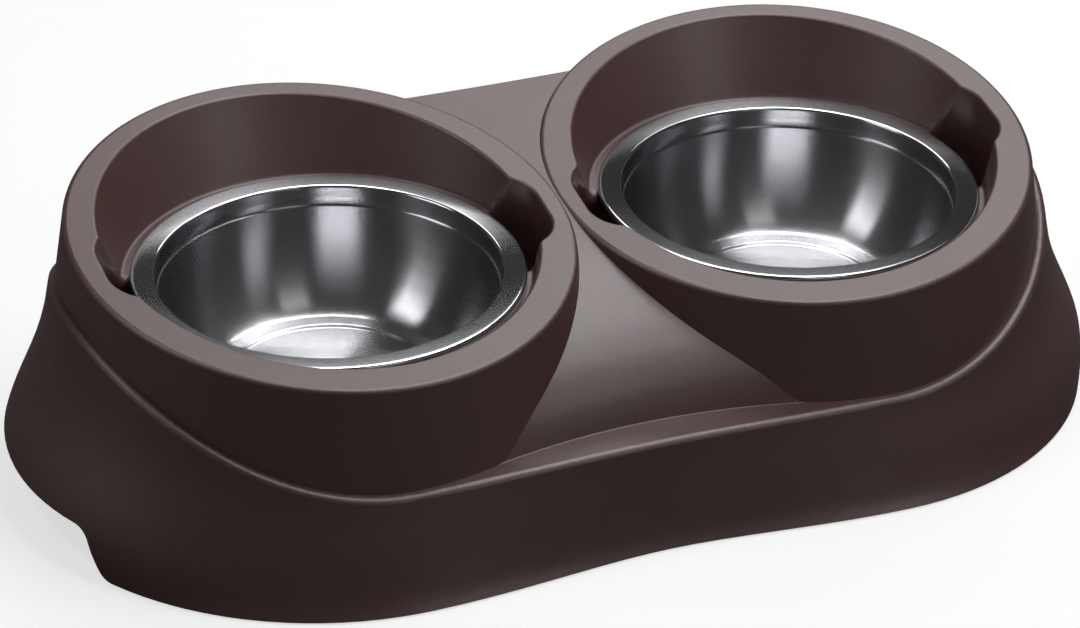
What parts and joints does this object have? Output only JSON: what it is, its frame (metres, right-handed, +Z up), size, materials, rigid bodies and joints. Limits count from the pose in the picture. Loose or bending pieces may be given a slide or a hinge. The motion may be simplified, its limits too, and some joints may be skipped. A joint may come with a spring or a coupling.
{
  "type": "double pet bowl",
  "caption": "Moulded stand with sloping round turrets that carries lift-out stainless-steel bowls side by side, with finger pockets, hand grips and rubber feet.",
  "frame": {"origin": "on the floor under the middle of the stand", "axes": "+X along the length, from the left bowl to the right bowl; +Y to the high back; +Z up"},
  "size_m": [0.4694, 0.2592, 0.1205],
  "materials": {
    "plastic": "fine matte texture, dark brown",
    "steel": "spun satin inside, polished hem",
    "rubber": "soft matte"
  },
  "bodies": {
    "stand": {"stand": "plastic", "foot_front_left": "rubber", "foot_front_right": "rubber", "foot_back_left": "rubber", "foot_back_right": "rubber"},
    "left_bowl": {"left_bowl": "steel"},
    "right_bowl": {"right_bowl": "steel"}
  },
  "joints": [
    {"name": "left_bowl_lift", "type": "slide", "parent": "stand", "child": "left_bowl", "axis": [0, 0, 1], "range_m": [0, 0.1]},
    {"name": "right_bowl_lift", "type": "slide", "parent": "stand", "child": "right_bowl", "axis": [0, 0, 1], "range_m": [0, 0.1]}
  ]
}
